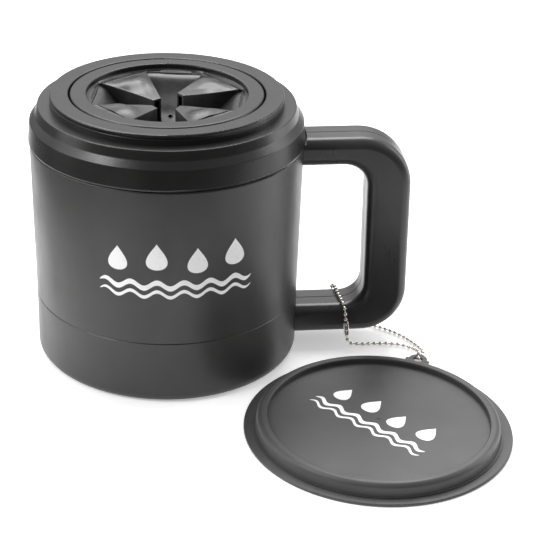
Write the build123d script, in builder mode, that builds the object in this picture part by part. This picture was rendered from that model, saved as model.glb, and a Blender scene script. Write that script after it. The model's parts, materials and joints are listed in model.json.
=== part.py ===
"""Paw washer cup: a double-walled mug with a pleated rubber splash guard, inner
bristle strips, a screw-on collar, and a snap lid tethered to the handle by a ball chain.

Millimetres, +Z up. The origin is the centre of the base, on the face it stands on.
+X points along the handle. The lid lies on the same surface, in front of the handle.
"""
from build123d import *
from math import cos, pi, radians, sin, tan
import os

os.makedirs("parts", exist_ok=True)

# ---------------------------------------------------------------- driving sizes
# cup body
BASE_R = 73.1             # radius at the seam between base and sleeve
BODY_R = 74.2             # radius at the shoulder under the collar
WALL = 2.4                # moulded wall of the sleeve and base
SEAM_Z = 36.0             # seam between base cap and sleeve
SHOULDER_Z = 123.7        # the sleeve steps in to its threaded neck here
NECK_R = 67.4
NECK_TOP_Z = 138.0
LINER_R = 65.0            # outer radius of the inner tub
LINER_WALL = 2.0
LINER_FLOOR_Z = 8.0
RIM_Z = NECK_TOP_Z + 2.0  # top of the tub's rim flange
SEAM_BEVEL = 0.35

# collar and rings
SKIRT_R = 75.0            # the skirt flares out to this at its foot
SKIRT_TOP_R = 73.8
SKIRT_Z = 124.0
SKIRT_TOP_Z = 135.7
FLANGE_R = 69.3
FLANGE_Z = 144.4
DISC_R = 62.7
DISC_SEAM_Z = 147.6
TOP_Z = 150.0
SEAT_R = 52.8             # bore in the collar that takes the splash guard
SEAT_Z = 142.0
MOUTH_R = 44.0            # clear way through the collar's ledge
COLLAR_BORE_R = 68.9
SLOPE_R, SLOPE_Z = 70.8, 139.5    # where the slope above the skirt meets the flange's side
SEAL_T = 2.0
SKIN = 2.4                # wall of the collar's folded section

# four-start screw thread, as short lugs
LUG_STARTS = 4
LUG_LEAD = 24.0
LUG_ARC = 30.0
LUG_HEIGHT = 1.6
LUG_DEPTH = 1.2
LUG_GAP = 0.4             # axial gap between a collar lug and the neck lug above it
COLLAR_LUG_Z = 132.6
NECK_LUG_Z = COLLAR_LUG_Z + LUG_HEIGHT + LUG_GAP

# splash guard
GUARD_R = 52.0
GUARD_IN_R = 43.2
PETAL_ROOT = 36.5         # distance of a raised petal's root edge from the axis
FLAP_ROOT = 39.0          # the same for a low flap
ROOT_GAP = 0.3
CORNER_GAP = 0.85         # room in the web for the low flaps' corners as they swing in
HINGE_Z = 143.6
GUARD_TWIST = -7.5        # the flaps' pattern is turned this much from the handle
SECTOR = 45.0
PETAL_INSET = 0.95        # the petals are this much inside the edges of their sectors
FLAP_INSET = -0.25        # the flaps reach under the petals' edges by this much
RUBBER_WALL = 1.2

# handle
GRIP_OUT_X = 134.4
GRIP_IN_X = 110.2
ARM_TOP = (110.0, 126.0)  # heights of the upper arm's lower and upper faces
ARM_LOW = (7.1, 24.1)
HANDLE_LEAN = 1.1         # degrees: the arms rise this much outward
HANDLE_HALF = 13.0        # half of the handle's thickness
HANDLE_WALL = 2.6
BOSS_END_X = 86.0         # the arms are solid from the cup's wall to here
SCREW_Y = 6.5
HANDLE_ROUND = 5.5        # rounding of the handle's long edges
SCREW_ZS = (118.0, 15.7)
SCREW_R = 1.5

# bristles
STRIP_COUNT = 4
STRIP_FACE = 58.6         # distance of the strips' inner face from the axis
STRIP_T = 3.0
STRIP_W = 26.0
STRIP_Z = (18.0, 108.0)
TUFT_R = 1.5
TUFT_LENGTH = 16.0

# lid, lying face up beside the cup
LID_X, LID_Y = 107.4, -102.7
LID_R = 70.5
LID_EDGE = 1.6
LID_FOOT_R = 64.6         # the rim's wall leans in from here
LID_TOP_R = 63.4
LID_RIM_Z = 8.6
LID_ROUND = 3.0           # outer rounding of the rim's top
LID_PLATE_R = 58.3
LID_PLATE_Z = 5.6
LID_STEP = (1.0, 0.6)     # width and height of the step round the foot of the rim
LID_SKIN = 1.5
SNAP_DEPTH = 4.0          # the lid slips this far over the collar's disc
EAR_ANGLE = 64.15
EAR_REACH = 74.75         # distance of the ear's hole from the lid's centre
EAR_R = 5.2
EAR_HOLE_R = 2.75
EAR_LIFT = 0.8

# ball chain, drawn as a plain tube
CHAIN_R = 1.2
CLASP_R = 1.6
CLASP_Z = (7.5, 16.5)
FALL_LOW = (102.3, -14.9, 3.7)    # the chain falls straight down in front of the lower arm
FALL_TOP = (99.7, -14.9, 26.5)


def on_fall(z):
    """The point at this height on the straight fall of the chain."""
    share = (z - FALL_LOW[2]) / (FALL_TOP[2] - FALL_LOW[2])
    return (FALL_LOW[0] + share * (FALL_TOP[0] - FALL_LOW[0]), FALL_LOW[1], z)


CLASP_BOTTOM, CLASP_TOP = on_fall(CLASP_Z[0]), on_fall(CLASP_Z[1])
# from the hole in the lid's ear, along the table, to the lower end of the clasp
CHAIN_FRONT = [
    (140.2, -35.0, 2.6),
    (141.0, -31.6, 4.9),
    (141.2, -27.4, 3.0),
    (139.8, -22.4, 1.4),
    (135.6, -17.8, 1.2),
    (128.4, -15.5, 1.2),
    (119.2, -15.0, 1.2),
    (110.4, -15.6, 1.2),
    (104.4, -15.2, 1.3),
    FALL_LOW,
    CLASP_BOTTOM,
]
# from the upper end of the clasp, over the lower arm, and back along the table
CHAIN_BACK = [
    CLASP_TOP,
    FALL_TOP,
    (97.7, -0.4, 26.2),
    (96.2, 15.0, 26.5),
    (95.4, 15.1, 14.6),
    (95.9, 15.4, 5.2),
    (98.9, 15.6, 1.3),
    (104.9, 14.4, 1.2),
    (113.2, 10.9, 1.2),
    (120.6, 6.5, 1.2),
    (127.4, 1.8, 1.2),
    (133.2, -3.6, 1.2),
    (137.7, -9.4, 1.2),
    (141.1, -15.8, 1.2),
    (144.2, -22.1, 1.2),
    (144.8, -26.6, 1.2),
    (143.6, -29.6, 1.2),
]

SIDE = Plane.XZ           # local x is X, local y is Z; profiles of revolution are drawn here


# ---------------------------------------------------------------- small helpers
def corner(x, y):
    """The vertex of the sketch being drawn that is nearest to (x, y)."""
    return vertices().sort_by_distance((x, y, 0))[0]


def radial(angle):
    return Vector(cos(radians(angle)), sin(radians(angle)), 0)


def facing(angle):
    """Upright plane through the axis: local x is radial at this angle, local y is Z."""
    out = radial(angle)
    return Plane(origin=(0, 0, 0), x_dir=out, z_dir=Vector(out.Y, -out.X, 0))


def lug_path_plane(start, z):
    return Plane(origin=(0, 0, z), x_dir=radial(start * 360 / LUG_STARTS), z_dir=(0, 0, 1))


def add_lugs(centre_r, z):
    """Short helical ridges, one per start of the thread, joined to the open part."""
    rise = LUG_LEAD * LUG_ARC / 360
    for start in range(LUG_STARTS):
        with BuildLine(lug_path_plane(start, z)) as path:
            Helix(pitch=LUG_LEAD, height=rise, radius=centre_r)
        out = radial(start * 360 / LUG_STARTS)
        section_plane = Plane(origin=path.line @ 0, x_dir=out, z_dir=path.line % 0)
        with BuildSketch(section_plane) as section:
            Rectangle(LUG_DEPTH, LUG_HEIGHT)
        sweep(sections=section.sketch, path=path.line, is_frenet=True)


# ---------------------------------------------------------------- cup body
with BuildPart() as outer_shell:
    with BuildSketch(SIDE):
        with BuildLine():
            Polyline(
                (BASE_R, SEAM_Z),
                (BODY_R, SHOULDER_Z),
                (NECK_R, SHOULDER_Z),
                (NECK_R, NECK_TOP_Z),
                (NECK_R - 2.2, NECK_TOP_Z),
                (NECK_R - 2.2, SHOULDER_Z - WALL),
                (BODY_R - WALL, SHOULDER_Z - WALL),
                (BASE_R - WALL, SEAM_Z),
                close=True,
            )
        make_face()
        chamfer(corner(BASE_R, SEAM_Z), SEAM_BEVEL)
        fillet(corner(BODY_R, SHOULDER_Z), 0.8)
    revolve(axis=Axis.Z)
    add_lugs(NECK_R + LUG_DEPTH / 2 - 0.1, NECK_LUG_Z)
    for y in (-SCREW_Y, SCREW_Y):
        with Locations((BODY_R - WALL / 2, y, SCREW_ZS[0])):
            Cylinder(SCREW_R + 0.3, 8, rotation=(0, 90, 0), mode=Mode.SUBTRACT)
outer_shell.part.label = "outer_shell"
export_step(outer_shell.part, "parts/outer_shell.step")

SPIGOT_R = BASE_R - WALL - 0.2
SPIGOT_Z = SEAM_Z + 5
with BuildPart() as base_cap:
    with BuildSketch(SIDE):
        with BuildLine():
            Polyline(
                (0, 0),
                (BASE_R, 0),
                (BASE_R, SEAM_Z - 0.05),
                (SPIGOT_R, SEAM_Z - 0.05),
                (SPIGOT_R, SPIGOT_Z),
                (SPIGOT_R - 2, SPIGOT_Z),
                (SPIGOT_R - 2, SEAM_Z - 2),
                (BASE_R - WALL, SEAM_Z - 5),
                (BASE_R - WALL, 3),
                (52, 3),
                (52, LINER_FLOOR_Z),
                (50, LINER_FLOOR_Z),
                (50, 3),
                (0, 3),
                close=True,
            )
        make_face()
        fillet(corner(BASE_R, 0), 5)
        chamfer(corner(BASE_R, SEAM_Z), SEAM_BEVEL)
    revolve(axis=Axis.Z)
    with BuildSketch(Plane.XY):
        Circle(61)
        Circle(58, mode=Mode.SUBTRACT)
    extrude(amount=0.8, mode=Mode.SUBTRACT)
    for y in (-SCREW_Y, SCREW_Y):
        with Locations((BASE_R - WALL / 2, y, SCREW_ZS[1])):
            Cylinder(SCREW_R + 0.3, 8, rotation=(0, 90, 0), mode=Mode.SUBTRACT)
base_cap.part.label = "base_cap"
export_step(base_cap.part, "parts/base_cap.step")

LINER_IN_R = LINER_R - LINER_WALL
with BuildPart() as inner_liner:
    with BuildSketch(SIDE):
        with BuildLine():
            Polyline(
                (0, LINER_FLOOR_Z),
                (LINER_R, LINER_FLOOR_Z),
                (LINER_R, NECK_TOP_Z),
                (NECK_R, NECK_TOP_Z),
                (NECK_R, RIM_Z),
                (LINER_IN_R, RIM_Z),
                (LINER_IN_R, LINER_FLOOR_Z + LINER_WALL),
                (0, LINER_FLOOR_Z + LINER_WALL),
                close=True,
            )
        make_face()
        fillet(corner(LINER_R, LINER_FLOOR_Z), 8)
        fillet(corner(LINER_IN_R, LINER_FLOOR_Z + LINER_WALL), 6)
        fillet(corner(LINER_IN_R, RIM_Z), 0.6)
        fillet(corner(NECK_R, RIM_Z), 0.6)
    revolve(axis=Axis.Z)
inner_liner.part.label = "inner_liner"
export_step(inner_liner.part, "parts/inner_liner.step")


# ---------------------------------------------------------------- handle
def leaned(x, z):
    """A point of the handle's side view, turned by the handle's lean about the cup's wall."""
    lean, middle = radians(HANDLE_LEAN), (ARM_LOW[0] + ARM_TOP[1]) / 2
    out, up = x - BODY_R, z - middle
    return (BODY_R + out * cos(lean) - up * sin(lean), middle + out * sin(lean) + up * cos(lean))


def handle_outline(start, inset):
    """The handle's side view from x = start outward, walls moved in by inset, and its bends."""
    outer, inner = GRIP_OUT_X - inset, GRIP_IN_X + inset
    foot, sill = ARM_LOW[0] + inset, ARM_LOW[1] - inset
    lintel, top = ARM_TOP[0] + inset, ARM_TOP[1] - inset
    bends = [
        (leaned(outer, foot), 26 - inset),
        (leaned(outer, top), 29 - inset),
        (leaned(inner, lintel), 13.5 + inset),
        (leaned(inner, sill), 12.5 + inset),
    ]
    places = [place for place, radius in bends]
    points = [leaned(start, foot), *places[:2], leaned(start, top)]
    points += [leaned(start, lintel), *places[2:], leaned(start, sill)]
    return points, bends


def handle_half(side):
    """One moulded half of the handle. side is 1 for the half at -Y and -1 for +Y."""
    with BuildPart() as half:
        points, bends = handle_outline(60, 0)
        with BuildSketch(SIDE):
            with BuildLine():
                Polyline(*points, close=True)
            make_face()
            for place, radius in bends:
                fillet(corner(*place), radius)
        extrude(amount=side * HANDLE_HALF)
        by_y = half.edges().group_by(Axis.Y)
        fillet(by_y[0] if side > 0 else by_y[-1], HANDLE_ROUND)
        by_y = half.edges().group_by(Axis.Y)
        chamfer(by_y[-1] if side > 0 else by_y[0], SEAM_BEVEL)
        points, bends = handle_outline(BOSS_END_X, HANDLE_WALL)
        with BuildSketch(SIDE):
            with BuildLine():
                Polyline(*points, close=True)
            make_face()
            for place, radius in bends:
                fillet(corner(*place), radius)
        extrude(amount=side * (HANDLE_HALF - HANDLE_WALL), mode=Mode.SUBTRACT)
        with BuildSketch(SIDE):
            with BuildLine():
                Polyline(
                    (0, 0),
                    (BASE_R + 0.05, 0),
                    (BASE_R + 0.05, SEAM_Z),
                    (BODY_R + 0.05, SHOULDER_Z - 0.3),
                    (SKIRT_R + 0.6, SHOULDER_Z - 0.3),
                    (SKIRT_R + 0.6, TOP_Z),
                    (0, TOP_Z),
                    close=True,
                )
            make_face()
        revolve(axis=Axis.Z, mode=Mode.SUBTRACT)
        for z in SCREW_ZS:
            with Locations((77.5, -side * SCREW_Y, z)):
                Cylinder(SCREW_R + 0.1, 13, rotation=(0, 90, 0), mode=Mode.SUBTRACT)
    return half


handle_front = handle_half(1)
handle_front.part.label = "handle_front"
export_step(handle_front.part, "parts/handle_front.step")

handle_back = handle_half(-1)
handle_back.part.label = "handle_back"
export_step(handle_back.part, "parts/handle_back.step")

HEAD_FACE_X = 69.9
with BuildPart() as handle_screws:
    for z in SCREW_ZS:
        for y in (-SCREW_Y, SCREW_Y):
            with BuildSketch(Plane(origin=(HEAD_FACE_X, y, z), x_dir=(0, 1, 0), z_dir=(1, 0, 0))):
                Circle(SCREW_R)
            extrude(amount=12)
            with BuildSketch(Plane(origin=(HEAD_FACE_X, y, z), x_dir=(0, 1, 0), z_dir=(1, 0, 0))):
                Circle(3)
            extrude(amount=-1.9)
            with Locations((HEAD_FACE_X - 1.9, y, z)):
                Box(1.6, 3.6, 0.8, mode=Mode.SUBTRACT)
                Box(1.6, 0.8, 3.6, mode=Mode.SUBTRACT)
handle_screws.part.label = "handle_screws"
export_step(handle_screws.part, "parts/handle_screws.step")


# ---------------------------------------------------------------- bristle strips
def strip_plane(angle, distance):
    """Upright plane whose normal points at the cup's axis; local x is sideways, y is up."""
    out = radial(angle)
    return Plane(origin=out * distance, x_dir=Vector(out.Y, -out.X, 0), z_dir=out * -1)


for number in range(1, STRIP_COUNT + 1):
    angle = 45 + (number - 1) * 360 / STRIP_COUNT
    middle_z = (STRIP_Z[0] + STRIP_Z[1]) / 2
    with BuildPart() as strip:
        with BuildSketch(strip_plane(angle, STRIP_FACE)):
            with Locations((0, middle_z)):
                RectangleRounded(STRIP_W, STRIP_Z[1] - STRIP_Z[0], 4)
        extrude(amount=-STRIP_T)
    strip.part.label = f"bristle_strip_{number}"
    export_step(strip.part, f"parts/bristle_strip_{number}.step")

    with BuildPart() as tufts:
        with BuildSketch(strip_plane(angle, STRIP_FACE)):
            with Locations((0, middle_z)):
                with GridLocations(13, 10.8, 2, 8):
                    Circle(TUFT_R)
        extrude(amount=TUFT_LENGTH)
    tufts.part.label = f"bristle_tufts_{number}"
    export_step(tufts.part, f"parts/bristle_tufts_{number}.step")


# ---------------------------------------------------------------- collar
with BuildPart() as collar_seal:
    with BuildSketch(Plane.XY.offset(RIM_Z + 0.05)):
        Circle(NECK_R - 0.2)
        Circle(LINER_IN_R + 0.4, mode=Mode.SUBTRACT)
    extrude(amount=SEAL_T)
collar_seal.part.label = "collar_seal"
export_step(collar_seal.part, "parts/collar_seal.step")

WEB_Z = RIM_Z + SEAL_T + 0.1
FIT_GAP = 0.05            # between pieces that are pressed together
with BuildPart() as collar:
    with BuildSketch(SIDE):
        with BuildLine():
            Polyline(
                (SKIRT_R, SKIRT_Z),
                (SKIRT_TOP_R, SKIRT_TOP_Z),
                (SLOPE_R, SLOPE_Z),
                (FLANGE_R, FLANGE_Z),
                (DISC_R + FIT_GAP, FLANGE_Z),
                (DISC_R + FIT_GAP, WEB_Z),
                (COLLAR_BORE_R, WEB_Z),
                (COLLAR_BORE_R, 131.5),
                (SKIRT_R - 2.6, 128.0),
                (SKIRT_R - 2.6, SKIRT_Z),
                close=True,
            )
        make_face()
        fillet(corner(SKIRT_R, SKIRT_Z), 1.4)
        fillet(corner(SKIRT_TOP_R, SKIRT_TOP_Z), 0.8)
        fillet(corner(SLOPE_R, SLOPE_Z), 1.4)
        fillet(corner(FLANGE_R, FLANGE_Z), 0.7)
    revolve(axis=Axis.Z)
    add_lugs(COLLAR_BORE_R - LUG_DEPTH / 2 + 0.1, COLLAR_LUG_Z)
collar.part.label = "collar"
export_step(collar.part, "parts/collar.step")

with BuildPart() as seat_ring:
    with BuildSketch(SIDE):
        with BuildLine():
            Polyline(
                (DISC_R, WEB_Z),
                (DISC_R, DISC_SEAM_Z),
                (SEAT_R, DISC_SEAM_Z),
                (SEAT_R, SEAT_Z),
                (MOUTH_R, SEAT_Z),
                (MOUTH_R, SEAT_Z - SKIN),
                (SEAT_R + SKIN, SEAT_Z - SKIN),
                (SEAT_R + SKIN, DISC_SEAM_Z - SKIN),
                (DISC_R - SKIN, DISC_SEAM_Z - SKIN),
                (DISC_R - SKIN, WEB_Z),
                close=True,
            )
        make_face()
        fillet(corner(MOUTH_R, SEAT_Z), 0.6)
        chamfer(corner(DISC_R, DISC_SEAM_Z), 0.25)
    revolve(axis=Axis.Z)
seat_ring.part.label = "seat_ring"
export_step(seat_ring.part, "parts/seat_ring.step")

with BuildPart() as top_ring:
    with BuildSketch(SIDE):
        with BuildLine():
            Polyline(
                (SEAT_R, DISC_SEAM_Z + FIT_GAP),
                (DISC_R, DISC_SEAM_Z + FIT_GAP),
                (DISC_R, TOP_Z),
                (SEAT_R, TOP_Z),
                close=True,
            )
        make_face()
        chamfer(corner(DISC_R, DISC_SEAM_Z), 0.25)
        fillet(corner(DISC_R, TOP_Z), 0.9)
        fillet(corner(SEAT_R, TOP_Z), 0.8)
    revolve(axis=Axis.Z)
top_ring.part.label = "top_ring"
export_step(top_ring.part, "parts/top_ring.step")


# ---------------------------------------------------------------- splash guard
with BuildPart() as guard_frame:
    with BuildSketch(SIDE):
        with BuildLine():
            Polyline(
                (GUARD_R, SEAT_Z + 0.1),
                (GUARD_R, TOP_Z),
                (GUARD_IN_R, TOP_Z),
                (GUARD_IN_R, HINGE_Z),
                (GUARD_IN_R + 2.2, HINGE_Z),
                (GUARD_IN_R + 2.2, TOP_Z - 2.2),
                (GUARD_R - SKIN, TOP_Z - 2.2),
                (GUARD_R - SKIN, SEAT_Z + 0.1),
                close=True,
            )
        make_face()
        fillet(corner(GUARD_R, TOP_Z), 1.2)
        fillet(corner(GUARD_IN_R, TOP_Z), 0.8)
    revolve(axis=Axis.Z)
guard_frame.part.label = "guard_frame"
export_step(guard_frame.part, "parts/guard_frame.step")



def half_width(distance, inset):
    """Half of a flap's width at this distance from the axis."""
    return distance * tan(radians(SECTOR / 2)) - inset


def outline(root, tip, inset):
    """A flap's outline seen from above, from its root to its tip; local x is radial."""
    wide, narrow = half_width(root, inset), half_width(tip, inset)
    return [(root, wide), (tip, narrow), (tip, -narrow), (root, -wide)]


def from_above(angle):
    return Plane(origin=(0, 0, 100), x_dir=radial(angle), z_dir=(0, 0, 1))


with BuildPart() as guard_web:
    with BuildSketch(SIDE):
        with BuildLine():
            Polyline(
                (GUARD_IN_R, 147.3),
                (PETAL_ROOT, 146.6),
                (PETAL_ROOT, HINGE_Z),
                (GUARD_IN_R, HINGE_Z),
                close=True,
            )
        make_face()
    revolve(axis=Axis.Z)
    for sector in range(8):
        root, inset = (PETAL_ROOT, -ROOT_GAP) if sector % 2 else (FLAP_ROOT, FLAP_INSET - CORNER_GAP)
        with BuildSketch(from_above(GUARD_TWIST + sector * SECTOR)):
            with BuildLine():
                Polyline(*outline(root + ROOT_GAP, 20, inset), close=True)
            make_face()
        extrude(amount=60, mode=Mode.SUBTRACT)
guard_web.part.label = "guard_web"
export_step(guard_web.part, "parts/guard_web.step")

PETAL_TIP = 8.8
# a petal seen from the side: its top, then the foot of its side walls
PETAL_PROFILE = [
    (PETAL_ROOT, HINGE_Z),
    (PETAL_ROOT, 147.0),
    (31, 147.9),
    (23, 147.6),
    (15, 145.7),
    (PETAL_TIP, 143.6),
    (PETAL_TIP, 125.6),
    (17, 130.4),
    (27, 137.2),
    (33, 142.4),
]
PETAL_HOLLOW = [
    (PETAL_ROOT - 3.5, 145.6),
    (23, 145.8),
    (15, 143.9),
    (PETAL_TIP - 1, 141.6),
    (PETAL_TIP - 1, 120),
    (PETAL_ROOT - 3.5, 120),
]

TONGUE_Z = 112.0
TONGUE_HALF = 3.4
FLAP_PROFILE = [
    (FLAP_ROOT, HINGE_Z),
    (FLAP_ROOT, 146.2),
    (35.4, 145.0),
    (28, 138.2),
    (18, 131.2),
    (6.8, 125.2),
    (6.8, TONGUE_Z),
    (8.4, TONGUE_Z),
    (8.4, 124.2),
    (17, 129.2),
    (27, 136.1),
    (34.2, 142.4),
]
FLAP_PLAN = [
    (FLAP_ROOT, half_width(FLAP_ROOT, FLAP_INSET)),
    (8.8, TONGUE_HALF),
    (6.0, TONGUE_HALF),
    (6.0, -TONGUE_HALF),
    (8.8, -TONGUE_HALF),
    (FLAP_ROOT, -half_width(FLAP_ROOT, FLAP_INSET)),
]


def rubber_flap(angle, profile, plan):
    """A flap of the guard: its side profile, trimmed to its outline seen from above."""
    with BuildPart() as flap:
        with BuildSketch(facing(angle)):
            with BuildLine():
                Polyline(*profile, close=True)
            make_face()
        extrude(amount=30, both=True)
        with BuildSketch(from_above(angle)):
            with BuildLine():
                Polyline(*plan, close=True)
            make_face()
        extrude(amount=60, mode=Mode.INTERSECT)
    return flap


def raised_petal(angle):
    """An upside-down channel: a sloping top with two side walls, open at its tip."""
    block = rubber_flap(angle, PETAL_PROFILE, outline(PETAL_ROOT, PETAL_TIP, PETAL_INSET))
    inside = outline(PETAL_ROOT, PETAL_TIP - 2, PETAL_INSET + RUBBER_WALL)
    hollow = rubber_flap(angle, PETAL_HOLLOW, inside)
    with BuildPart() as petal:
        add(block.part)
        add(hollow.part, mode=Mode.SUBTRACT)
    return petal


for number in range(1, 5):
    petal = raised_petal(GUARD_TWIST + SECTOR + (number - 1) * 90)
    petal.part.label = f"petal_{number}"
    export_step(petal.part, f"parts/petal_{number}.step")

    flap = rubber_flap(GUARD_TWIST + (number - 1) * 90, FLAP_PROFILE, FLAP_PLAN)
    flap.part.label = f"flap_{number}"
    export_step(flap.part, f"parts/flap_{number}.step")

# ---------------------------------------------------------------- lid
EAR_X = LID_X + EAR_REACH * cos(radians(EAR_ANGLE))
EAR_Y = LID_Y + EAR_REACH * sin(radians(EAR_ANGLE))
SNAP_R = LID_FOOT_R - LID_SKIN
with BuildPart() as lid:
    with BuildSketch(Plane(origin=(LID_X, LID_Y, 0), x_dir=(1, 0, 0), z_dir=(0, -1, 0))):
        with BuildLine():
            Polyline(
                (SNAP_R, 0),
                (LID_R, 0),
                (LID_R, LID_EDGE),
                (LID_FOOT_R + LID_STEP[0], LID_EDGE),
                (LID_FOOT_R + LID_STEP[0], LID_EDGE + LID_STEP[1]),
                (LID_FOOT_R, LID_EDGE + LID_STEP[1]),
                (LID_TOP_R, LID_RIM_Z),
                (LID_PLATE_R, LID_RIM_Z),
                (LID_PLATE_R, LID_PLATE_Z),
                (0, LID_PLATE_Z),
                (0, LID_PLATE_Z - LID_SKIN),
                (LID_PLATE_R + LID_SKIN, LID_PLATE_Z - LID_SKIN),
                (LID_PLATE_R + LID_SKIN, LID_RIM_Z - LID_SKIN),
                (LID_TOP_R - LID_ROUND, LID_RIM_Z - LID_SKIN),
                (SNAP_R, SNAP_DEPTH),
                close=True,
            )
        make_face()
        fillet(corner(LID_TOP_R, LID_RIM_Z), LID_ROUND)
        fillet(corner(LID_PLATE_R, LID_RIM_Z), 0.7)
        fillet(corner(LID_R, LID_EDGE), 0.6)
        fillet(corner(LID_R, 0), 0.4)
    revolve(axis=Axis((LID_X, LID_Y, 0), (0, 0, 1)))
    with BuildSketch(Plane(origin=(EAR_X, EAR_Y, EAR_LIFT), x_dir=radial(EAR_ANGLE))):
        Circle(EAR_R)
        with Locations((-5, 0)):
            Rectangle(10, 2 * EAR_R + 3)
    extrude(amount=LID_EDGE)
    with Locations((EAR_X, EAR_Y, EAR_LIFT + LID_EDGE / 2)):
        Cylinder(EAR_HOLE_R, 6, mode=Mode.SUBTRACT)
    with Locations((LID_X, LID_Y, LID_PLATE_Z)):
        Cylinder(1.4, 0.3, mode=Mode.SUBTRACT)
lid.part.label = "lid"
export_step(lid.part, "parts/lid.step")


# ---------------------------------------------------------------- ball chain
def bend_radii(points):
    """Each bend is as large as its two runs allow."""
    radii = []
    for before, here, after in zip(points, points[1:], points[2:]):
        run_in = Vector(*here) - Vector(*before)
        run_out = Vector(*after) - Vector(*here)
        half_turn = radians(run_in.get_angle(run_out)) / 2
        shorter = min(run_in.length, run_out.length)
        radii.append(0.45 * shorter / tan(half_turn))
    return radii


def chain_tube(name, points):
    radii = bend_radii(points)
    with BuildPart() as tube:
        with BuildLine() as route:
            FilletPolyline(*points, radius=radii)
        with BuildSketch(Plane(origin=route.line @ 0, z_dir=route.line % 0)):
            Circle(CHAIN_R)
        sweep(path=route.line)
    length = route.wire().length
    expected = pi * CHAIN_R**2 * length
    print(name, "bend radii:", [round(r, 1) for r in radii])
    print(name, "length:", round(length, 1))
    print(name, "volume / expected:", round(tube.part.volume / expected, 4))
    return tube


chain_front = chain_tube("chain_front", CHAIN_FRONT)
chain_front.part.label = "chain_front"
export_step(chain_front.part, "parts/chain_front.step")

chain_back = chain_tube("chain_back", CHAIN_BACK)
chain_back.part.label = "chain_back"
export_step(chain_back.part, "parts/chain_back.step")

clasp_axis = Vector(*CLASP_TOP) - Vector(*CLASP_BOTTOM)
with BuildPart() as chain_clasp:
    with BuildSketch(Plane(origin=CLASP_BOTTOM, z_dir=clasp_axis)):
        Circle(CLASP_R)
    extrude(amount=clasp_axis.length)
    fillet(chain_clasp.edges(), 0.35)
chain_clasp.part.label = "chain_clasp"
export_step(chain_clasp.part, "parts/chain_clasp.step")
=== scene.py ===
"""Looks of the paw washer cup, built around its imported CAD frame. Metres, +Z up."""
import json
import math
import random

import bpy
from mathutils import Matrix, Vector


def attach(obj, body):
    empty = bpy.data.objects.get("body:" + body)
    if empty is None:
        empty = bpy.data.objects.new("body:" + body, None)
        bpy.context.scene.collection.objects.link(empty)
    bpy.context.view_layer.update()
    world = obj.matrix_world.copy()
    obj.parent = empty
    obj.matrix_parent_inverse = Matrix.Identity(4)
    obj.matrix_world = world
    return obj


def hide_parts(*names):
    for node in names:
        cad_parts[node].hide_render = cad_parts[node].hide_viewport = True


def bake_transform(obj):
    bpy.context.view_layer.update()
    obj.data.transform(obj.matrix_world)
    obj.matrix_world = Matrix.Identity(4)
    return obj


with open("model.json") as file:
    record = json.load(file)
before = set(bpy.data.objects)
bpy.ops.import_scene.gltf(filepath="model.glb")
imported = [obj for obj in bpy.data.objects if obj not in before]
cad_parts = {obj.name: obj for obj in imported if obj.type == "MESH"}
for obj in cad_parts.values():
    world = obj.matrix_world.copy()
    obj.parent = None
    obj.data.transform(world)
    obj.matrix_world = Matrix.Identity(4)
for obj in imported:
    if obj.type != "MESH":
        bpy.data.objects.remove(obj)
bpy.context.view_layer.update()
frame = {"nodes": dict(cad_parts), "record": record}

MM = 0.001
NODES = frame["nodes"]

# ---------------------------------------------------------------- sizes shared with the CAD
GUARD_TWIST = -7.5        # degrees, the flaps' pattern is turned this much from the handle
SECTOR = 45.0
HINGE_Z = 143.6 * MM
GUARD_IN_R = 43.2 * MM
BASE_R = 73.1 * MM
SEAM_Z = 36.0 * MM
BODY_TAPER = 1.1 / 87.7   # the sleeve's radius grows by this much per metre of height
LID_CENTRE = Vector((0.1074, -0.1027, 0.0))
LID_PLATE_Z = 5.6 * MM
TUFT_R = 1.5 * MM
TUFT_LENGTH = 16.0 * MM
STRIP_FACE = 58.6 * MM
STRIP_MIDDLE_Z = 63.0 * MM
TUFT_ROWS, TUFT_COLUMNS = 8, 2
TUFT_PITCH = (13.0 * MM, 10.8 * MM)
FILAMENT_R, FILAMENT_TIP_R = 0.15 * MM, 0.10 * MM

# ---------------------------------------------------------------- camera
CAMERA_AT = (-0.02092, -0.79927, 0.45154)
LOOK_DOWN = 26.90         # degrees below the horizon
HEADING = -5.5            # degrees, from +Y towards -X
ROLL = 1.744
LENS = 107.15


def add_camera():
    data = bpy.data.cameras.new("camera")
    data.lens = LENS
    data.sensor_width = 36
    data.clip_start = 0.05
    camera = bpy.data.objects.new("camera", data)
    bpy.context.scene.collection.objects.link(camera)
    heading = Matrix.Rotation(math.radians(HEADING), 4, "Z")
    tilt = Matrix.Rotation(math.radians(90 - LOOK_DOWN), 4, "X")
    roll = Matrix.Rotation(math.radians(ROLL), 4, "Z")
    camera.matrix_world = Matrix.Translation(CAMERA_AT) @ heading @ tilt @ roll
    bpy.context.scene.camera = camera


# ---------------------------------------------------------------- mesh helpers
def mesh_object(name, points, faces, sharp=40):
    """A smooth-shaded mesh with its sharp edges kept."""
    mesh = bpy.data.meshes.new(name)
    mesh.from_pydata([tuple(p) for p in points], [], faces)
    mesh.validate()
    mesh.shade_smooth()
    mesh.set_sharp_from_angle(angle=math.radians(sharp))
    obj = bpy.data.objects.new(name, mesh)
    bpy.context.scene.collection.objects.link(obj)
    return obj


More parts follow.
